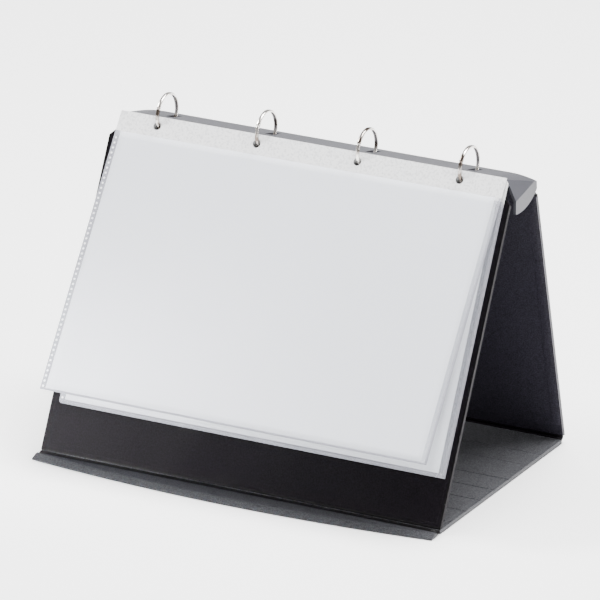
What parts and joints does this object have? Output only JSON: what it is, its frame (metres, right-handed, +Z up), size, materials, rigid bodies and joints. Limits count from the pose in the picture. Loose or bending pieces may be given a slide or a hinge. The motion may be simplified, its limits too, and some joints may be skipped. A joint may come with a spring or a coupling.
{
  "type": "tabletop flip chart easel",
  "caption": "Free-standing tabletop easel binder: hinged boards fold into a triangular stand, a ring mechanism in the top cap carries flip-over clear pockets.",
  "frame": {"origin": "centre of the footprint on the table", "axes": "+X across the easel, along the cap; +Y from the page side to the back; +Z up"},
  "size_m": [0.318, 0.2194, 0.2413],
  "materials": {
    "greyboard": "matt recycled board, sealed inside the films",
    "black_film": "fine-grained satin cover film",
    "grey_film": "fine-grained satin lining film",
    "cap_plastic": "satin moulded plastic",
    "nickel": "bright nickel plate",
    "edge_strip": "white embossed film",
    "clear_film": "clear pocket film",
    "paper": "smooth white paper"
  },
  "bodies": {
    "base": {"base_core": "greyboard", "base_top_film": "grey_film", "base_bottom_film": "black_film", "rear_crease_bead": "black_film", "flap_crease_bead": "black_film"},
    "flap": {"flap_core": "greyboard", "flap_top_film": "grey_film", "flap_bottom_film": "black_film"},
    "back_panel": {"back_board_core": "greyboard", "back_board_inner_film": "black_film", "back_board_outer_film": "black_film", "apex_crease_bead": "black_film"},
    "front_panel": {"front_board_core": "greyboard", "front_board_face_film": "black_film", "front_board_rear_film": "black_film", "spine_cap": "cap_plastic", "ring_housing": "nickel", "housing_posts": "nickel"},
    "front_ring_set": {"front_blade": "nickel", "front_ring_halves": "nickel"},
    "rear_ring_set": {"rear_blade": "nickel", "rear_ring_halves": "nickel"},
    "page_1_top": {"page_1_edge": "edge_strip"},
    "page_1_hang": {"page_1_pocket": "clear_film", "page_1_sheet": "paper"},
    "page_2": {"page_2_edge": "edge_strip", "page_2_pocket": "clear_film", "page_2_sheet": "paper"},
    "page_3": {"page_3_edge": "edge_strip", "page_3_pocket": "clear_film", "page_3_sheet": "paper"},
    "page_4": {"page_4_edge": "edge_strip", "page_4_pocket": "clear_film", "page_4_sheet": "paper"},
    "page_5": {"page_5_edge": "edge_strip", "page_5_pocket": "clear_film", "page_5_sheet": "paper"},
    "page_6": {"page_6_edge": "edge_strip", "page_6_pocket": "clear_film", "page_6_sheet": "paper"}
  },
  "joints": [
    {"name": "flap_fold", "type": "hinge", "parent": "base", "child": "flap", "pos_m": [0, -0.08914, 0.0015], "axis": [-1, 0, 0], "range_deg": [0, 110]},
    {"name": "back_fold", "type": "hinge", "parent": "base", "child": "back_panel", "pos_m": [0, 0.10704, 0.003], "axis": [-1, 0, 0], "range_deg": [-70, 0]},
    {"name": "apex_fold", "type": "hinge", "parent": "back_panel", "child": "front_panel", "pos_m": [0, 0.05875, 0.20438], "axis": [1, 0, 0], "range_deg": [-121, 0]},
    {"name": "front_rings_open", "type": "hinge", "parent": "front_panel", "child": "front_ring_set", "pos_m": [0, 0.02207, 0.21329], "axis": [-1, 0, 0], "range_deg": [-9, 0]},
    {"name": "rear_rings_open", "type": "hinge", "parent": "front_panel", "child": "rear_ring_set", "pos_m": [0, 0.03294, 0.21058], "axis": [-1, 0, 0], "range_deg": [0, 9]},
    {"name": "page_1_turn", "type": "hinge", "parent": "front_panel", "child": "page_1_top", "pos_m": [0, 0.03106, 0.2262], "axis": [-1, 0, 0], "range_deg": [-5, 205]},
    {"name": "page_1_droop", "type": "hinge", "parent": "page_1_top", "child": "page_1_hang", "pos_m": [0, 0.01441, 0.21778], "axis": [-1, 0, 0], "range_deg": [-2, 77]},
    {"name": "page_2_lift", "type": "hinge", "parent": "front_panel", "child": "page_2", "pos_m": [0, 0.03106, 0.2262], "axis": [-1, 0, 0], "range_deg": [0, 6]},
    {"name": "page_3_lift", "type": "hinge", "parent": "front_panel", "child": "page_3", "pos_m": [0, 0.03106, 0.2262], "axis": [-1, 0, 0], "range_deg": [0, 4.8]},
    {"name": "page_4_lift", "type": "hinge", "parent": "front_panel", "child": "page_4", "pos_m": [0, 0.03106, 0.2262], "axis": [-1, 0, 0], "range_deg": [0, 3.6]},
    {"name": "page_5_lift", "type": "hinge", "parent": "front_panel", "child": "page_5", "pos_m": [0, 0.03106, 0.2262], "axis": [-1, 0, 0], "range_deg": [0, 2.4]},
    {"name": "page_6_lift", "type": "hinge", "parent": "front_panel", "child": "page_6", "pos_m": [0, 0.03106, 0.2262], "axis": [-1, 0, 0], "range_deg": [0, 1.2]}
  ],
  "couplings": [
    {"joint": "apex_fold", "follows": "back_fold", "ratio": 1.72},
    {"joint": "rear_rings_open", "follows": "front_rings_open", "ratio": -1},
    {"joint": "page_1_droop", "follows": "page_1_turn", "ratio": 0.3735},
    {"joint": "page_3_lift", "follows": "page_2_lift", "ratio": 0.8},
    {"joint": "page_4_lift", "follows": "page_2_lift", "ratio": 0.6},
    {"joint": "page_5_lift", "follows": "page_2_lift", "ratio": 0.4},
    {"joint": "page_6_lift", "follows": "page_2_lift", "ratio": 0.2}
  ]
}
